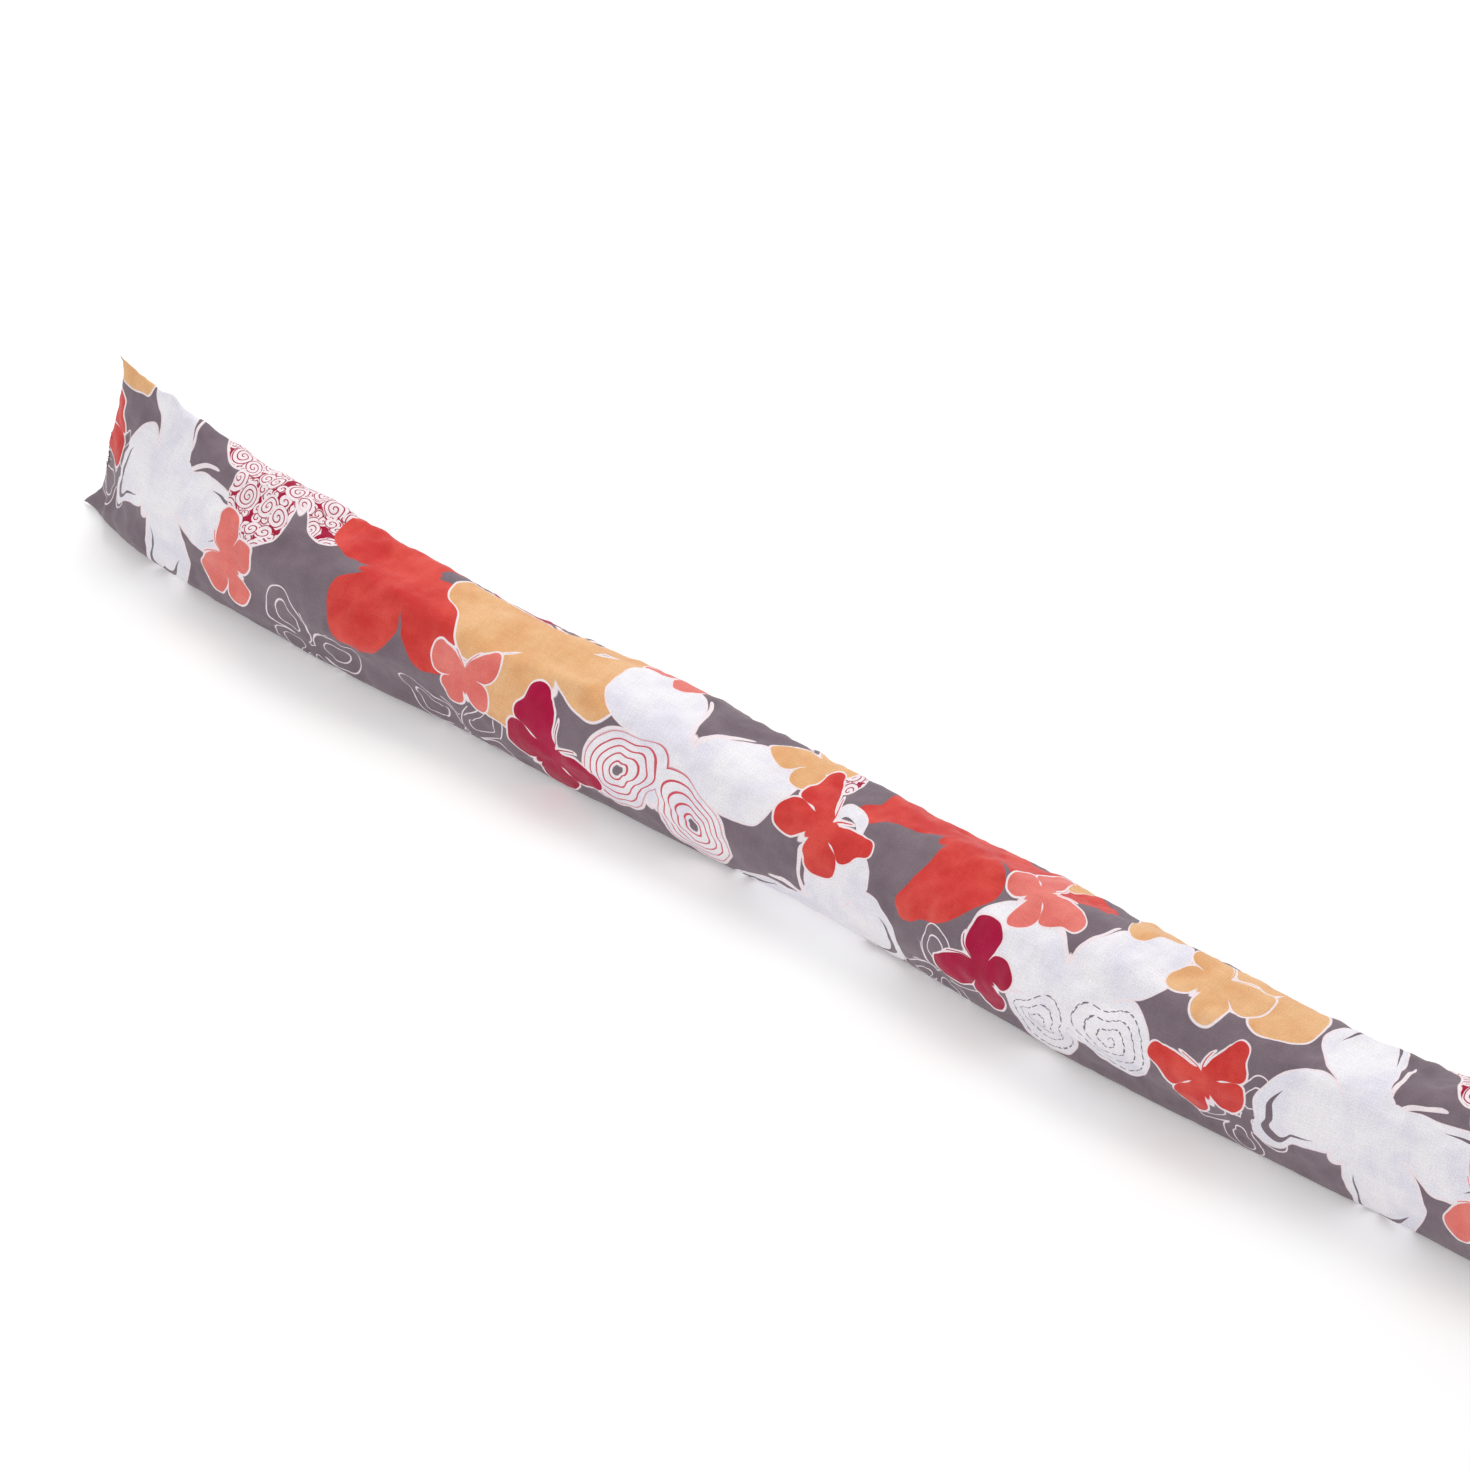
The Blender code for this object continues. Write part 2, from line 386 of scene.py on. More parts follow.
def sheet_place(u, v, face):
    """A place of the flat cloth on one square sheet, where the cloth lies cut in stretches, two beside two."""
    stretch = LENGTH / 4.0
    middle = sum(place[0] for place in face) / len(face)
    number = min(3, int(middle / stretch))
    part_u = SHEET_EDGE + (1.0 - 2.0 * SHEET_EDGE) * (u - number * stretch) / stretch
    part_v = SHEET_EDGE + (1.0 - 2.0 * SHEET_EDGE) * v / CLOTH_AROUND
    return (number % 2 + part_u) / 2.0, (number // 2 + part_v) / 2.0


def tube_mesh(points):
    """A mesh through the points, closed across both seams, with the cloth's own flat map in metres."""
    stations, around = points.shape[:2]
    across = around // 2
    index = np.arange(stations * around).reshape(stations, around)
    faces = []
    places = []
    step_u = LENGTH / (stations - 1)
    step_v = CLOTH_AROUND / around
    for i in range(stations - 1):
        for j in range(around):
            k = (j + 1) % around
            faces.append((index[i, j], index[i, k], index[i + 1, k], index[i + 1, j]))
            u0, u1 = i * step_u, (i + 1) * step_u
            v0, v1 = j * step_v, (j + 1) * step_v
            places.append(((u0, v0), (u0, v1), (u1, v1), (u1, v0)))
    for i, flip in ((0, False), (stations - 1, True)):
        for j in range(across):
            corners = [index[i, j], index[i, j + 1], index[i, -(j + 1)], index[i, -j]]
            if j == 0:
                corners = [index[i, 0], index[i, 1], index[i, -1]]
            if j == across - 1:
                corners = [index[i, j], index[i, j + 1], index[i, -j]]
            u = i * step_u
            steps = [(c - index[i, 0]) % around for c in corners]
            flat = [(u, min(step, around - step) * step_v) for step in steps]
            if not flip:
                corners, flat = corners[::-1], flat[::-1]
            faces.append(tuple(corners))
            places.append(tuple(flat))
    sheet = [[sheet_place(u, v, place) for u, v in place] for place in places]
    mesh = bpy.data.meshes.new("printed_cover")
    mesh.from_pydata(points.reshape(-1, 3).tolist(), [], [tuple(int(v) for v in f) for f in faces])
    layer = mesh.uv_layers.new(name="Cloth")
    layer.data.foreach_set("uv", np.array([c for face in places for c in face]).ravel())
    layer = mesh.uv_layers.new(name="OFBake")
    layer.data.foreach_set("uv", np.array([c for face in sheet for c in face]).ravel())
    mesh.validate()
    mesh.shade_smooth()
    corners = [int(index[i, j]) for i in (0, -1) for j in (0, across)]
    crease = mesh.attributes.new("crease_vert", "FLOAT", "POINT")
    for corner in corners:
        crease.data[corner].value = TIP_CREASE
    return mesh


def add_piece(name, mesh):
    """A piece of the object, on the part's one body."""
    piece = bpy.data.objects.new(name, mesh)
    bpy.context.scene.collection.objects.link(piece)
    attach(piece, "root")
    return piece


shape = tube_points()
shape = settled(shape)
shape = folded(shape)
cover = add_piece("printed_cover", tube_mesh(shape))
finer = cover.modifiers.new("finer", "SUBSURF")
finer.levels = finer.render_levels = 1
heights = np.array([v.co.z for v in cover.data.vertices])
free = cover.vertex_groups.new(name="free")
for number, height in enumerate(heights):
    free.add([number], smooth(height / CRUMPLE_CLEAR), "REPLACE")
for number, (size, depth) in enumerate(CRUMPLES):
    texture = bpy.data.textures.new(f"crumple_{number}", "CLOUDS")
    texture.noise_scale = size
    texture.noise_depth = 1
    dent = cover.modifiers.new(f"crumple_{number}", "DISPLACE")
    dent.texture = texture
    dent.texture_coords = "LOCAL"
    dent.vertex_group = "free"
    dent.strength = depth


def thread_mesh(name, lines, radius, sides=5):
    """Short round threads along lines of points, as one mesh of closed tubes."""
    points, faces = [], []
    for line in lines:
        line = [Vector(p) for p in line]
        base = len(points)
        for k, place in enumerate(line):
            ahead = (line[min(k + 1, len(line) - 1)] - line[max(k - 1, 0)]).normalized()
            side = ahead.cross(Vector((0.0, 0.0, 1.0))).normalized()
            up = side.cross(ahead)
            for m in range(sides):
                turn = 2.0 * math.pi * m / sides
                points.append(place + radius * (math.cos(turn) * side + math.sin(turn) * up))
        for k in range(len(line) - 1):
            for m in range(sides):
                n = (m + 1) % sides
                low, high = base + k * sides, base + (k + 1) * sides
                faces.append((low + m, low + n, high + n, high + m))
        faces.append(tuple(base + m for m in reversed(range(sides))))
        faces.append(tuple(base + (len(line) - 1) * sides + m for m in range(sides)))
    mesh = bpy.data.meshes.new(name)
    mesh.from_pydata([tuple(p) for p in points], [], faces)
    mesh.shade_smooth()
    return mesh


def closing_stitches(points):
    """Small slanting stitches over the left seam, where its opening was sewn shut after filling."""
    across = points.shape[1] // 2
    whole = np.arange(across + 1)
    front = points[:2, : across + 1]
    back = np.concatenate([points[:2, :1], points[:2, across:][:, ::-1]], axis=1)
    lines = []
    for number in range(STITCHES):
        low = across * (STITCH_FROM + (STITCH_TO - STITCH_FROM) * number / (STITCHES - 1))
        high = low + across * STITCH_SLANT
        line = []
        for k in range(STITCH_STEPS + 1):
            turn = math.pi * k / STITCH_STEPS
            height = low + (high - low) * k / STITCH_STEPS
            inward = STITCH_REACH * abs(math.cos(turn)) / CELL
            faces = []
            for side in (front, back):
                edge = [np.interp(height, whole, side[0, :, c]) for c in range(3)]
                deep = [np.interp(height, whole, side[1, :, c]) for c in range(3)]
                faces.append(np.array(edge) + inward * (np.array(deep) - np.array(edge)))
            share = smooth(0.5 - 0.5 * math.cos(turn))
            place = faces[0] + share * (faces[1] - faces[0])
            out = faces[0] - faces[1]
            out /= max(np.linalg.norm(out), 1e-9)
            place += out * math.copysign(STITCH_PROUD, math.cos(turn)) * min(1.0, abs(math.cos(turn)) * 3.0)
            place[0] -= STITCH_PROUD * math.sin(turn) * 2.0
            line.append(place)
        lines.append(line)
    return lines


stitch_lines = closing_stitches(shape)
stitches = add_piece("closing_stitches", thread_mesh("closing_stitches", stitch_lines, THREAD_RADIUS))
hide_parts("filled_tube")


# The print's colours, as seen on a screen.
COLOURS = {
    "ground": (130, 114, 123),
    "ground_deep": (120, 104, 113),
    "white": (247, 244, 248),
    "lavender": (234, 231, 242),
    "outline": (247, 234, 238),
    "red": (211, 56, 52),
    "red_light": (226, 80, 70),
    "salmon": (229, 113, 105),
    "salmon_light": (238, 132, 122),
    "apricot": (239, 189, 139),
    "apricot_light": (230, 171, 117),
    "crimson": (168, 0, 56),
    "crimson_light": (178, 4, 66),
    "ring": (214, 84, 100),
    "pencil": (126, 112, 124),
}

# Each wing's outline: its middle, in half spans from the body, then its radius by angle in degrees.
WINGS = {
    "broad": (
        ((0.48, 0.36), ((0, 0.385), (40, 0.61), (65, 0.40), (97, 0.27), (150, 0.27), (180, 0.36), (211, 0.51),
                        (235, 0.37), (252, 0.31), (280, 0.34), (308, 0.42), (335, 0.40))),
        ((0.36, -0.22), ((0, 0.36), (22, 0.37), (90, 0.25), (143, 0.41), (191, 0.31), (244, 0.37), (278, 0.42),
                         (315, 0.37))),
    ),
    "tailed": (
        ((0.50, 0.40), ((0, 0.36), (20, 0.42), (42, 0.62), (60, 0.47), (90, 0.26), (130, 0.22), (170, 0.33),
                        (207, 0.56), (225, 0.42), (250, 0.30), (290, 0.29), (330, 0.33))),
        ((0.32, -0.20), ((0, 0.36), (40, 0.33), (90, 0.30), (132, 0.40), (180, 0.27), (230, 0.30), (258, 0.36),
                         (283, 0.60), (298, 0.46), (320, 0.43), (345, 0.38))),
    ),
    "round": (
        ((0.46, 0.30), ((0, 0.40), (30, 0.46), (55, 0.50), (90, 0.37), (130, 0.33), (165, 0.38), (203, 0.46),
                        (230, 0.36), (260, 0.27), (300, 0.30), (335, 0.37))),
        ((0.34, -0.24), ((0, 0.33), (45, 0.30), (90, 0.27), (139, 0.44), (185, 0.30), (230, 0.34), (270, 0.36),
                         (315, 0.36))),
    ),
}

# The butterflies from the lowest layer up: along and round the cloth, the way they turn, and half their span.
PRINT_COLUMNS = ("wings", "style", "along", "round", "turn", "half_span")
PRINT_ROWS = (
    ("round", "line", 0.012, 0.052, 35, 0.036),
    ("round", "line", 0.225, 0.036, -20, 0.040),
    ("tailed", "line", 0.350, 0.030, 15, 0.044),
    ("round", "line", 0.708, 0.045, 60, 0.034),
    ("broad", "line", 0.125, 0.165, -15, 0.040),
    ("broad", "apricot", 0.005, 0.158, 70, 0.060),
    ("tailed", "crescent", 0.082, 0.080, -30, 0.078),
    ("broad", "scroll", 0.183, 0.142, 28, 0.072),
    ("round", "red", 0.277, 0.122, -64, 0.080),
    ("broad", "apricot", 0.398, 0.118, 30, 0.076),
    ("tailed", "red", 0.690, 0.142, -40, 0.078),
    ("round", "rings", 0.503, 0.084, -14, 0.080),
    ("broad", "crescent", 0.622, 0.040, 52, 0.066),
    ("round", "dashes", 0.797, 0.078, 20, 0.072),
    ("broad", "scroll", 0.560, 0.192, 160, 0.068),
    ("tailed", "apricot", 0.795, 0.190, -15, 0.070),
    ("round", "salmon", 0.163, 0.070, 78, 0.032),
    ("broad", "crimson", 0.336, 0.172, -70, 0.036),
    ("round", "salmon", 0.352, 0.078, 15, 0.030),
    ("broad", "crimson", 0.415, 0.056, -38, 0.036),
    ("round", "apricot", 0.578, 0.136, 55, 0.031),
    ("broad", "red", 0.606, 0.096, -30, 0.034),
    ("round", "crimson", 0.738, 0.066, 62, 0.033),
    ("broad", "salmon", 0.748, 0.122, -50, 0.030),
    ("round", "apricot", 0.866, 0.122, -20, 0.033),
    ("broad", "red", 0.888, 0.068, 25, 0.032),
    ("broad", "salmon", 0.462, 0.158, -15, 0.028),
    ("round", "red", 0.245, 0.212, 35, 0.034),
    ("broad", "crimson", 0.070, 0.205, -35, 0.036),
)
PRINT_REPEAT = 0.900
PRINT_START = -0.090
PRINT_REACH = 1.25

# Line widths, in metres.
OUTLINE_WIDTH = 0.0013
LINE_WIDTH = 0.0009
EDGE_SOFTNESS = 0.00018
ANTENNA_WIDTH = 0.0014
BODY_WIDTH = 0.08
SCROLL_SPACING = 0.0135
SCROLL_PITCH = 0.0027
SMALL_SCROLL_SPACING = 0.0068
SMALL_SCROLL_PITCH = 0.0030
SCROLL_CROWDING = 1.45
SCROLL_RANDOMNESS = 0.6
SCROLL_GAP = 0.0003

# The parts of a butterfly beside its wings, in half spans.
BODY_RISE = 0.03
BODY_LENGTH = 0.30
ANTENNA_FOOT = 0.2
ANTENNA_TIP = 0.62
ANTENNA_BEND = 1.35
ANTENNA_GAP = 0.02

# What fills the wings. Small butterflies, by half span in metres, have filled antennae.
SMALL_SPAN = 0.05
LOOP_SHARE = 0.55
RING_COUNT = 5.2
DASH_COUNT = 4.2
CRESCENT_SHARE = 0.74
CRESCENTS = (
    ("Fore share", "Fore turn", 0.66, 0.24),
    ("Hind share", "Hind turn", 0.30, 0.22),
)

# How far the print drifts on the cloth, in metres, and the drift's scale.
DRIFT = 0.012
DRIFT_SCALE = 22.0

# The cloth itself.
YARN_PITCH = 0.00055
YARN_RELIEF = 0.00009
SHEEN = 0.22
SHEEN_ROUGHNESS = 0.5
TURNING = 0.0115
TURNING_RELIEF = 0.0008
SLUB_SHADE = 0.035
SPECKLE_SHADE = 0.06


def linear(colour):
    """A screen colour as the shader's linear one."""
    parts = [c / 255.0 for c in colour]
    return tuple(c / 12.92 if c <= 0.04045 else ((c + 0.055) / 1.055) ** 2.4 for c in parts) + (1.0,)


class Nodes:
    """Adds shader nodes in the order they depend on each other, and gives back their first outputs."""

    def __init__(self, tree):
        self.tree = tree

    def node(self, kind, values, **settings):
        made = self.tree.nodes.new(kind)
        for name, value in settings.items():
            setattr(made, name, value)
        for key, value in values.items():
            if isinstance(value, bpy.types.NodeSocket):
                self.tree.links.new(value, made.inputs[key])
            else:
                made.inputs[key].default_value = value
        return made

    def maths(self, operation, *values):
        return self.node("ShaderNodeMath", dict(enumerate(values)), operation=operation).outputs[0]

    def hypot(self, a, b):
        return self.maths("SQRT", self.maths("MULTIPLY_ADD", a, a, self.maths("MULTIPLY", b, b)))

    def vector(self, operation, *values):
        return self.node("ShaderNodeVectorMath", dict(enumerate(values)), operation=operation).outputs[0]

    def placed(self, vector, place, turn, size):
        """A point as seen from a place, turned and in units of a size."""
        values = {
            "Vector": vector,
            "Location": (*place, 0.0),
            "Rotation": (0.0, 0.0, turn),
            "Scale": (size, size, 1.0),
        }
        return self.node("ShaderNodeMapping", values, vector_type="TEXTURE").outputs[0]

    def parts(self, vector):
        split = self.node("ShaderNodeSeparateXYZ", {0: vector})
        return split.outputs[0], split.outputs[1]

    def joined(self, x, y):
        return self.node("ShaderNodeCombineXYZ", {0: x, 1: y}).outputs[0]

    def ramp(self, value, low, high, start=0.0, end=1.0):
        """A straight ramp from start to end as the value goes from low to high, level outside."""
        return self.node("ShaderNodeMapRange", {0: value, 1: low, 2: high, 3: start, 4: end}).outputs[0]

    def mixed(self, part, under, over, blend="MIX"):
        mix = self.node("ShaderNodeMix", {0: part, 6: under, 7: over}, data_type="RGBA", blend_type=blend)
        return mix.outputs[2]

    def noise(self, vector, scale, detail=2.0, roughness=0.5):
        values = {"Vector": vector, "Scale": scale, "Detail": detail, "Roughness": roughness}
        return self.node("ShaderNodeTexNoise", values, noise_dimensions="2D").outputs[0]

    def curve(self, value, points):
        made = self.node("ShaderNodeFloatCurve", {"Value": value})
        line = made.mapping.curves[0]
        while len(line.points) < len(points):
            line.points.new(0.5, 0.5)
        for point, place in zip(line.points, sorted(points)):
            point.location = place
        made.mapping.update()
        return made.outputs[0]


def new_group(name, inputs, outputs):
    """An empty node group with its sockets; gives back the group, its nodes and its inputs."""
    group = bpy.data.node_groups.new(name, "ShaderNodeTree")
    for kind, label in inputs:
        group.interface.new_socket(label, in_out="INPUT", socket_type=f"NodeSocket{kind}")
    for kind, label in outputs:
        group.interface.new_socket(label, in_out="OUTPUT", socket_type=f"NodeSocket{kind}")
    nodes = Nodes(group)
    return group, nodes, group.nodes.new("NodeGroupInput").outputs


def wing(nodes, x, y, middle, table):
    """How deep a point is inside a wing's outline, and its angle and share of the radius."""
    dx = nodes.maths("SUBTRACT", x, middle[0])
    dy = nodes.maths("SUBTRACT", y, middle[1])
    angle = nodes.maths("ARCTAN2", dy, dx)
    turn = nodes.maths("MULTIPLY_ADD", angle, 0.5 / math.pi, 0.5)
    points = [(((degrees + 180) % 360) / 360.0, radius) for degrees, radius in table]
    low, high = min(points), max(points)
    share = (1.0 - high[0]) / (1.0 - high[0] + low[0])
    edge = high[1] + share * (low[1] - high[1])
    points = [point for point in points if 0.0 < point[0]] + [(0.0, edge), (1.0, edge)]
    radius = nodes.curve(turn, points)
    distance = nodes.hypot(dx, dy)
    return nodes.maths("SUBTRACT", radius, distance), turn, nodes.maths("DIVIDE", distance, radius)


def butterfly_group(name, wings):
    """A node group that reads a point in half spans and tells how it lies to the wings, body and antennae."""
    outputs = ("Wings", "Body", "Antenna", "Fore turn", "Fore share", "Hind turn", "Hind share", "Hind depth")
    group, nodes, given = new_group(name, [("Vector", "Point")], [("Float", label) for label in outputs])
    x, y = nodes.parts(given["Point"])
    x = nodes.maths("ABSOLUTE", x)
    fore, fore_turn, fore_share = wing(nodes, x, y, *wings[0])
    hind, hind_turn, hind_share = wing(nodes, x, y, *wings[1])
    across = nodes.maths("DIVIDE", x, BODY_WIDTH)
    along = nodes.maths("DIVIDE", nodes.maths("ADD", y, BODY_RISE), BODY_LENGTH)
    round_body = nodes.hypot(across, along)
    body = nodes.maths("MULTIPLY", nodes.maths("SUBTRACT", 1.0, round_body), BODY_WIDTH)
    rise = nodes.maths("SUBTRACT", y, ANTENNA_FOOT)
    bend = nodes.maths("MULTIPLY_ADD", nodes.maths("MULTIPLY", rise, rise), ANTENNA_BEND, ANTENNA_GAP)
    aside = nodes.maths("ABSOLUTE", nodes.maths("SUBTRACT", x, bend))
    above = nodes.maths("SUBTRACT", y, ANTENNA_TIP)
    below = nodes.maths("SUBTRACT", ANTENNA_FOOT, y)
    past = nodes.maths("MAXIMUM", nodes.maths("MAXIMUM", above, below), 0.0)
    antenna = nodes.hypot(aside, past)
    results = (
        nodes.maths("MAXIMUM", fore, hind), body, antenna, fore_turn, fore_share, hind_turn, hind_share, hind,
    )
    made = nodes.node("NodeGroupOutput", {})
    for socket, result in zip(made.inputs, results):
        group.links.new(result, socket)
    return group


def scroll_layer(nodes, point, spacing, pitch):
    """One field of round spirals: where their lines run, and where their discs lie, both from 0 to 1."""
    values = {"Vector": point, "Scale": 1.0 / spacing, "Randomness": SCROLL_RANDOMNESS}
    cells = nodes.node("ShaderNodeTexVoronoi", values, voronoi_dimensions="2D").outputs
    nearest = nodes.node("ShaderNodeTexVoronoi", values, voronoi_dimensions="2D", feature="N_SPHERE_RADIUS")
    edges = nodes.node("ShaderNodeTexVoronoi", values, voronoi_dimensions="2D", feature="DISTANCE_TO_EDGE")
    x, y = nodes.parts(nodes.vector("SUBTRACT", point, cells["Position"]))
    spin = nodes.maths("MULTIPLY", nodes.maths("ARCTAN2", y, x), 0.5 / math.pi)
    distance = nodes.hypot(x, y)
    own_turn = nodes.maths("ADD", spin, nodes.parts(cells["Color"])[0])
    phase = nodes.maths("MULTIPLY_ADD", distance, 1.0 / pitch, own_turn)
    coil = nodes.ramp(nodes.maths("PINGPONG", phase, 0.5), 0.16, 0.09)
    reach = nodes.maths("MULTIPLY_ADD", nearest.outputs["Radius"], spacing * SCROLL_CROWDING, -SCROLL_GAP)
    rim = nodes.maths("MULTIPLY_ADD", edges.outputs[0], spacing, -SCROLL_GAP)
    inside = nodes.maths("MINIMUM", nodes.maths("SUBTRACT", reach, distance), rim)
    inside = nodes.ramp(inside, -EDGE_SOFTNESS, EDGE_SOFTNESS)
    return coil, inside


def scrolls(nodes, point):
    """Where the lines of a field of small spirals run, from 0 to 1."""
    big, in_big = scroll_layer(nodes, point, SCROLL_SPACING, SCROLL_PITCH)
    small, in_small = scroll_layer(nodes, point, SMALL_SCROLL_SPACING, SMALL_SCROLL_PITCH)
    small = nodes.maths("MAXIMUM", small, nodes.maths("SUBTRACT", 1.0, in_small))
    between = nodes.maths("MULTIPLY", small, nodes.maths("SUBTRACT", 1.0, in_big))
    return nodes.maths("MULTIPLY_ADD", big, in_big, between)


def printed(nodes, point, colours, groups, wash):
    """The print's colour at a point of the flat cloth."""
    def tone(name, light):
        return nodes.mixed(wash, colours[name], colours[light])

    scroll_lines = scrolls(nodes, point)
    fills = {
        "red": tone("red", "red_light"),
        "salmon": tone("salmon", "salmon_light"),
        "apricot": tone("apricot", "apricot_light"),
        "crimson": tone("crimson", "crimson_light"),
        "scroll": nodes.mixed(scroll_lines, colours["outline"], colours["crimson"]),
        "white": tone("white", "lavender"),
    }
    colour = tone("ground", "ground_deep")
    ground = colour
    rows = [dict(zip(PRINT_COLUMNS, row)) for row in PRINT_ROWS]
    for row in rows:
        for shift in (-PRINT_REPEAT, 0.0, PRINT_REPEAT):
            along = row["along"] + shift - PRINT_START
            if not -PRINT_REACH * row["half_span"] < along < PRINT_REPEAT + PRINT_REACH * row["half_span"]:
                continue
            size = row["half_span"]
            local = nodes.placed(point, (along, row["round"]), math.radians(row["turn"]), size)
            made = nodes.node("ShaderNodeGroup", {}, node_tree=groups[row["wings"]])
            nodes.tree.links.new(local, made.inputs[0])
            out = made.outputs
            soft = EDGE_SOFTNESS / size
            style = row["style"]
            plain = style in ("red", "salmon", "apricot", "crimson", "scroll")
            fill = fills[style] if plain else fills["white"]
            if style == "line":
                width = 0.5 * LINE_WIDTH / size
                drawn = nodes.maths("ABSOLUTE", out["Wings"])
                for share in ("Fore share", "Hind share"):
                    loop = nodes.maths("ABSOLUTE", nodes.maths("SUBTRACT", out[share], LOOP_SHARE))
                    drawn = nodes.maths("MINIMUM", drawn, nodes.maths("MULTIPLY", loop, 0.4))
                drawn = nodes.maths("MINIMUM", drawn, out["Antenna"])
                drawn = nodes.ramp(drawn, width + soft, width - soft)
                colour = nodes.mixed(drawn, colour, colours["outline"])
                continue
            if style == "crescent":
                for share, turn, middle, reach in CRESCENTS:
                    away = nodes.maths("ABSOLUTE", nodes.maths("SUBTRACT", out[turn], middle))
                    half = nodes.ramp(away, 0.0, reach, 0.085, -0.01)
                    off = nodes.maths("ABSOLUTE", nodes.maths("SUBTRACT", out[share], CRESCENT_SHARE))
                    fill = nodes.mixed(nodes.maths("GREATER_THAN", half, off), fill, ground)
            if style == "rings":
                phase = nodes.maths("PINGPONG", nodes.maths("MULTIPLY", out["Hind share"], RING_COUNT), 0.5)
                line = nodes.ramp(phase, 0.13, 0.09)
                line = nodes.maths("MULTIPLY", line, nodes.ramp(out["Hind depth"], 0.0, 0.02))
                fill = nodes.mixed(line, fill, colours["ring"])
                fill = nodes.mixed(nodes.ramp(out["Hind share"], 0.12, 0.10), fill, ground)
            if style == "dashes":
                phase = nodes.maths("MULTIPLY_ADD", out["Hind share"], DASH_COUNT, out["Hind turn"])
                line = nodes.ramp(nodes.maths("PINGPONG", phase, 0.5), 0.09, 0.06)
                number = nodes.maths("MULTIPLY_ADD", nodes.maths("FLOOR", phase), 5.0, 7.0)
                dash = nodes.maths("FRACT", nodes.maths("MULTIPLY", out["Hind turn"], number))
                line = nodes.maths("MULTIPLY", line, nodes.maths("GREATER_THAN", dash, 0.35))
                line = nodes.maths("MULTIPLY", line, nodes.ramp(out["Hind depth"], 0.01, 0.03))
                fill = nodes.mixed(line, fill, colours["pencil"])
            inner = nodes.maths("MAXIMUM", out["Wings"], out["Body"])
            if style != "red" or size < SMALL_SPAN:
                width = OUTLINE_WIDTH / size
                line = nodes.maths("SUBTRACT", 0.4 * ANTENNA_WIDTH / size, out["Antenna"])
                outer = nodes.ramp(nodes.maths("MAXIMUM", inner, line), -width - soft, -width + soft)
                colour = nodes.mixed(outer, colour, colours["outline"])
            if plain and size < SMALL_SPAN:
                line = nodes.maths("SUBTRACT", 0.3 * ANTENNA_WIDTH / size, out["Antenna"])
                inner = nodes.maths("MAXIMUM", inner, line)
            colour = nodes.mixed(nodes.ramp(inner, -soft, soft), colour, fill)
    return colour


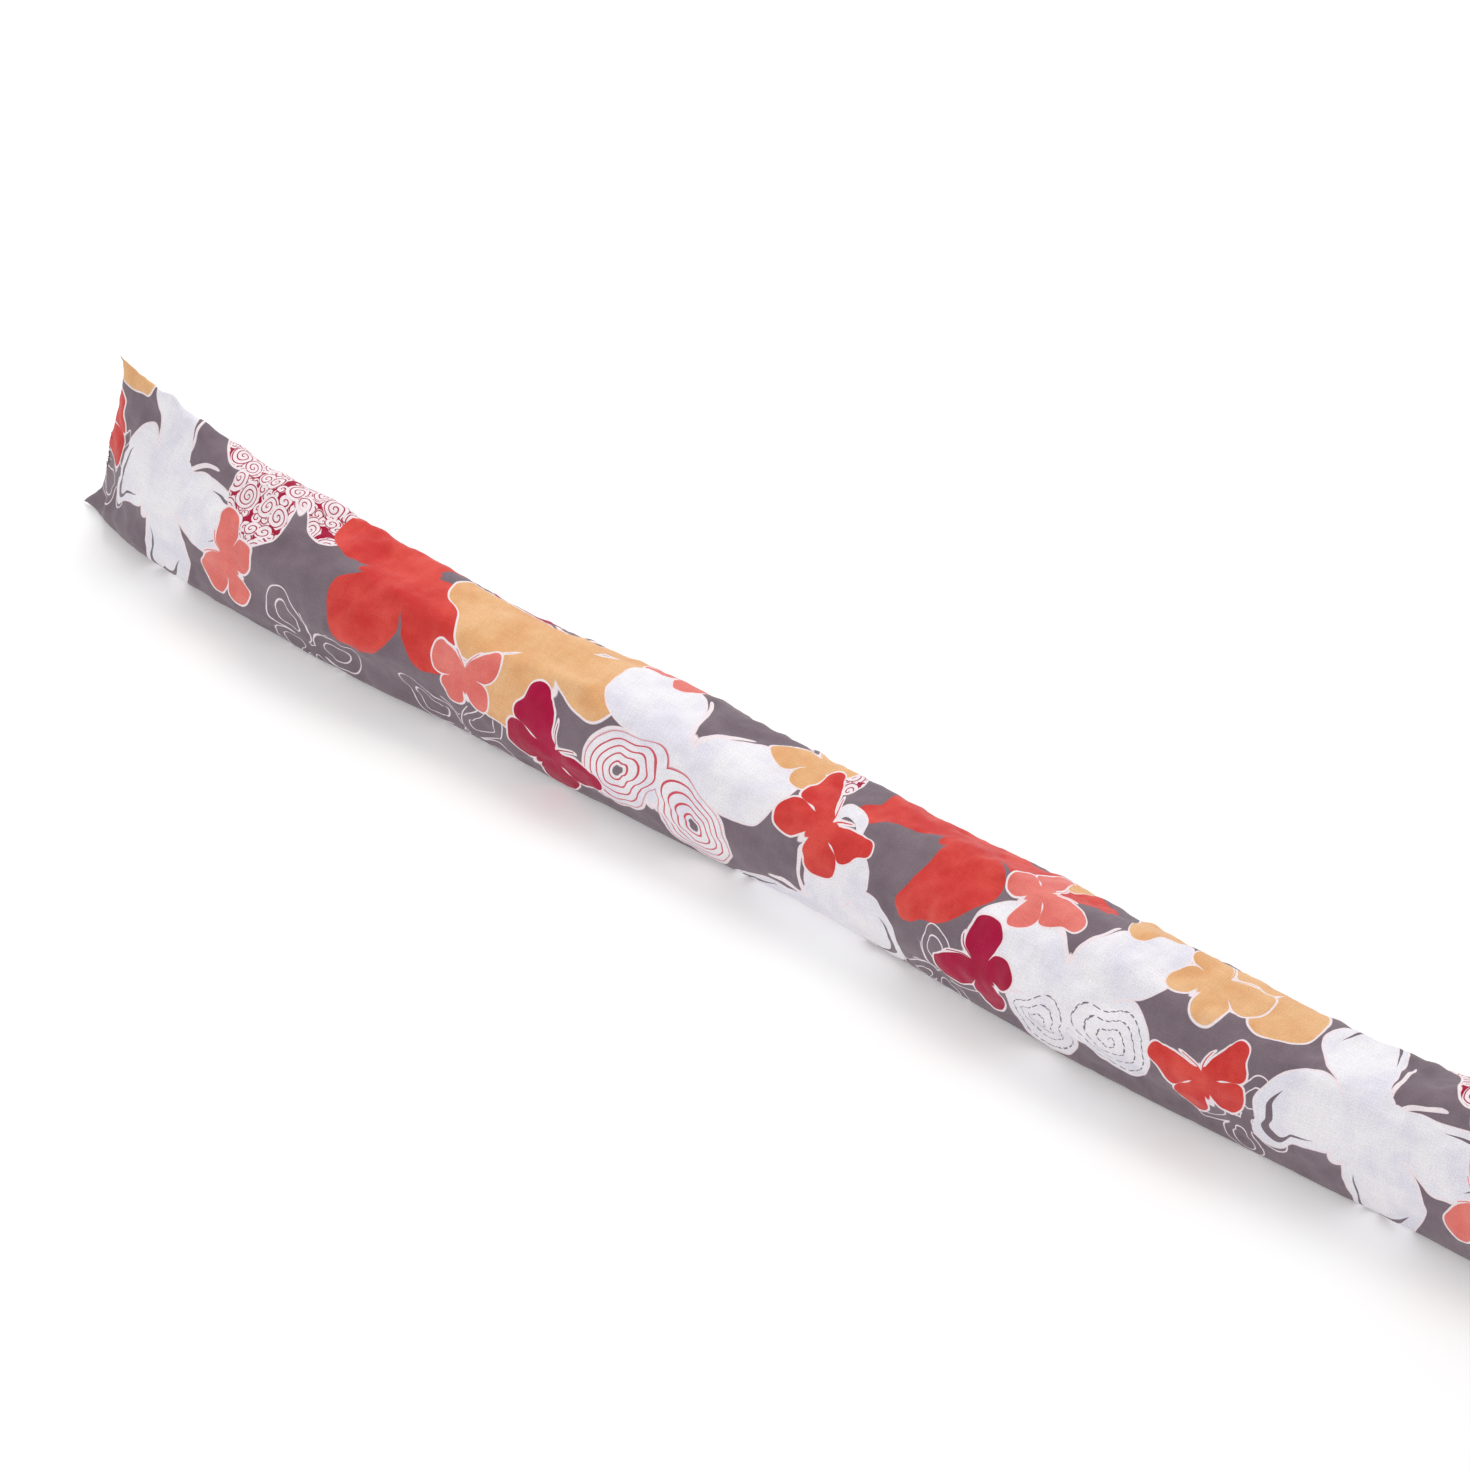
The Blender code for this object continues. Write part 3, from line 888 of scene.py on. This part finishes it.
def cotton_material():
    """Plain-woven cotton with a printed face."""
    material = bpy.data.materials.new("printed_cotton_look")
    material.use_nodes = True
    material.node_tree.nodes.clear()
    nodes = Nodes(material.node_tree)
    flat = nodes.node("ShaderNodeUVMap", {}, uv_map="Cloth").outputs[0]
    colours = {}
    for name, colour in COLOURS.items():
        made = nodes.node("ShaderNodeRGB", {})
        made.outputs[0].default_value = linear(colour)
        colours[name] = made.outputs[0]
    values = {"Vector": flat, "Scale": DRIFT_SCALE, "Detail": 1.0}
    drift = nodes.node("ShaderNodeTexNoise", values, noise_dimensions="2D").outputs["Color"]
    drift = nodes.vector("SUBTRACT", drift, (0.5, 0.5, 0.5))
    values = {0: drift, 1: (DRIFT, DRIFT, 0.0), 2: flat}
    point = nodes.node("ShaderNodeVectorMath", values, operation="MULTIPLY_ADD").outputs[0]
    along, across = nodes.parts(point)
    along = nodes.maths("FLOORED_MODULO", nodes.maths("SUBTRACT", along, PRINT_START), PRINT_REPEAT)
    point = nodes.joined(along, across)
    wash = nodes.ramp(nodes.noise(flat, 34.0, 4.0, 0.6), 0.38, 0.66)
    groups = {name: butterfly_group(name, wings) for name, wings in WINGS.items()}
    colour = printed(nodes, point, colours, groups, wash)
    yarns = []
    for scale in ((70.0, 1150.0, 1.0), (1150.0, 70.0, 1.0)):
        stretched = nodes.vector("MULTIPLY", flat, scale)
        yarns.append(nodes.noise(stretched, 1.0, 1.0))
    speckle = nodes.noise(flat, 1300.0, 0.0)
    slub = nodes.maths("ADD", yarns[0], yarns[1])
    shade = nodes.maths("ADD", nodes.ramp(slub, 0.7, 1.3, 1.0 - SLUB_SHADE, 1.0 + SLUB_SHADE),
                        nodes.ramp(speckle, 0.30, 0.70, -SPECKLE_SHADE, SPECKLE_SHADE))
    colour = nodes.node("ShaderNodeVectorMath", {0: colour, 3: shade}, operation="SCALE").outputs[0]
    u, v = nodes.parts(nodes.vector("MULTIPLY", flat, (math.pi / YARN_PITCH, math.pi / YARN_PITCH, 0.0)))
    weave = nodes.maths("MULTIPLY", nodes.maths("SINE", u), nodes.maths("SINE", v))
    relief = nodes.maths("MULTIPLY_ADD", weave, 0.5, slub)
    whole_u = nodes.parts(flat)[0]
    from_end = nodes.maths("MINIMUM", whole_u, nodes.maths("SUBTRACT", LENGTH, whole_u))
    waver = nodes.maths("MULTIPLY_ADD", nodes.noise(flat, 60.0, 1.0), 0.004, -0.002)
    turning = nodes.ramp(nodes.maths("ADD", from_end, waver), TURNING, TURNING + 0.0022)
    seam_bump = nodes.node(
        "ShaderNodeBump", {"Strength": 1.0, "Distance": TURNING_RELIEF, "Height": turning}, invert=True
    ).outputs[0]
    values = {"Strength": 1.0, "Distance": YARN_RELIEF, "Height": relief, "Normal": seam_bump}
    bump = nodes.node("ShaderNodeBump", values).outputs[0]
    rough = nodes.ramp(slub, 0.7, 1.3, 0.90, 0.80)
    shader = nodes.node(
        "ShaderNodeBsdfPrincipled",
        {
            "Base Color": colour,
            "Roughness": rough,
            "Normal": bump,
            "Sheen Weight": SHEEN,
            "Sheen Roughness": SHEEN_ROUGHNESS,
            "Specular IOR Level": 0.15,
        },
    )
    end = nodes.node("ShaderNodeOutputMaterial", {})
    nodes.tree.links.new(shader.outputs[0], end.inputs[0])
    return material


cover.data.materials.append(cotton_material())


def thread_material():
    """Spun sewing thread, matt, with its ply as a fine slanting relief and painted shade in the grooves
    between the plies.
    """
    material = bpy.data.materials.new("thread_look")
    material.use_nodes = True
    material.node_tree.nodes.clear()
    nodes = Nodes(material.node_tree)
    place = nodes.node("ShaderNodeTexCoord", {}).outputs["Object"]
    values = {"Vector": place, "Scale": 900.0, "Distortion": 1.0}
    ply = nodes.node("ShaderNodeTexWave", values, bands_direction="DIAGONAL")
    values = {"Strength": 0.6, "Distance": 0.0001, "Height": ply.outputs[1]}
    bump = nodes.node("ShaderNodeBump", values).outputs[0]
    # The thread's colour follows the ply's relief. Painted shade makes it darker in the grooves between the
    # plies and lighter on their ridges.
    colour = nodes.mixed(ply.outputs[1], linear((70, 60, 68)), linear((94, 82, 92)))
    shader = nodes.node("ShaderNodeBsdfPrincipled", {"Base Color": colour, "Roughness": 0.8, "Normal": bump})
    end = nodes.node("ShaderNodeOutputMaterial", {})
    nodes.tree.links.new(shader.outputs[0], end.inputs[0])
    return material


stitches.data.materials.append(thread_material())

# Camera: the photograph's angle, from far off with a long lens.
CAMERA_AZIMUTH = 41.865
CAMERA_ELEVATION = 35.0
CAMERA_DISTANCE = 3.5
CAMERA_TARGET = Vector((-0.1063, 0.0379, 0.04))
CAMERA_LENS = 152.8

azimuth, elevation = math.radians(CAMERA_AZIMUTH), math.radians(CAMERA_ELEVATION)
towards = Vector(
    (
        math.sin(azimuth) * math.cos(elevation),
        -math.cos(azimuth) * math.cos(elevation),
        math.sin(elevation),
    )
)
camera = bpy.data.objects.new("camera", bpy.data.cameras.new("camera"))
camera.data.lens = CAMERA_LENS
camera.data.sensor_width = 36.0
camera.location = CAMERA_TARGET + towards * CAMERA_DISTANCE
camera.rotation_mode = "QUATERNION"
camera.rotation_quaternion = (-towards).to_track_quat("-Z", "Y")
bpy.context.scene.collection.objects.link(camera)
bpy.context.scene.camera = camera

# The floor: one plain white sheet.
FLOOR_SIZE = 60.0
floor_mesh = bpy.data.meshes.new("floor")
half = FLOOR_SIZE / 2.0
floor_corners = [(-half, -half, 0), (half, -half, 0), (half, half, 0), (-half, half, 0)]
floor_mesh.from_pydata(floor_corners, [], [(0, 1, 2, 3)])
floor = bpy.data.objects.new("floor", floor_mesh)
bpy.context.scene.collection.objects.link(floor)
floor.location.z = -0.0004
floor_look = bpy.data.materials.new("floor_look")
floor_look.use_nodes = True
floor_shader = floor_look.node_tree.nodes["Principled BSDF"]
floor_shader.inputs["Base Color"].default_value = (0.90, 0.90, 0.90, 1.0)
floor_shader.inputs["Emission Color"].default_value = (1.0, 1.0, 1.0, 1.0)
floor_shader.inputs["Emission Strength"].default_value = FLOOR_GLOW
floor_shader.inputs["Roughness"].default_value = 0.95
floor_shader.inputs["Specular IOR Level"].default_value = 0.0
floor_mesh.materials.append(floor_look)

# Light: an even white room, a broad soft light from above and behind, and a weaker one from above in
# front, which lights the object but not the floor.
world = bpy.data.worlds.new("room")
world.use_nodes = True
world.node_tree.nodes["Background"].inputs["Color"].default_value = (1.0, 1.0, 1.0, 1.0)
world.node_tree.nodes["Background"].inputs["Strength"].default_value = ROOM_LIGHT
bpy.context.scene.world = world


def soft_light(name, place, aim, size, power):
    """A square area light at a place, aimed at a point."""
    data = bpy.data.lights.new(name, "AREA")
    data.shape = "SQUARE"
    data.size = size
    data.energy = power
    light = bpy.data.objects.new(name, data)
    light.location = place
    light.rotation_mode = "QUATERNION"
    light.rotation_quaternion = (Vector(aim) - Vector(place)).to_track_quat("-Z", "Y")
    bpy.context.scene.collection.objects.link(light)
    return light


soft_light("key_light", (-1.15, 1.30, 2.55), (0.0, 0.0, 0.0), 1.5, KEY_POWER)
top_light = soft_light("top_light", (0.25, -0.75, 2.50), (0.0, 0.0, 0.0), 1.5, TOP_POWER)
lit = bpy.data.collections.new("lit_by_top_light")
for piece in (cover, stitches):
    lit.objects.link(piece)
top_light.light_linking.receiver_collection = lit

bpy.context.scene.view_settings.view_transform = "Standard"
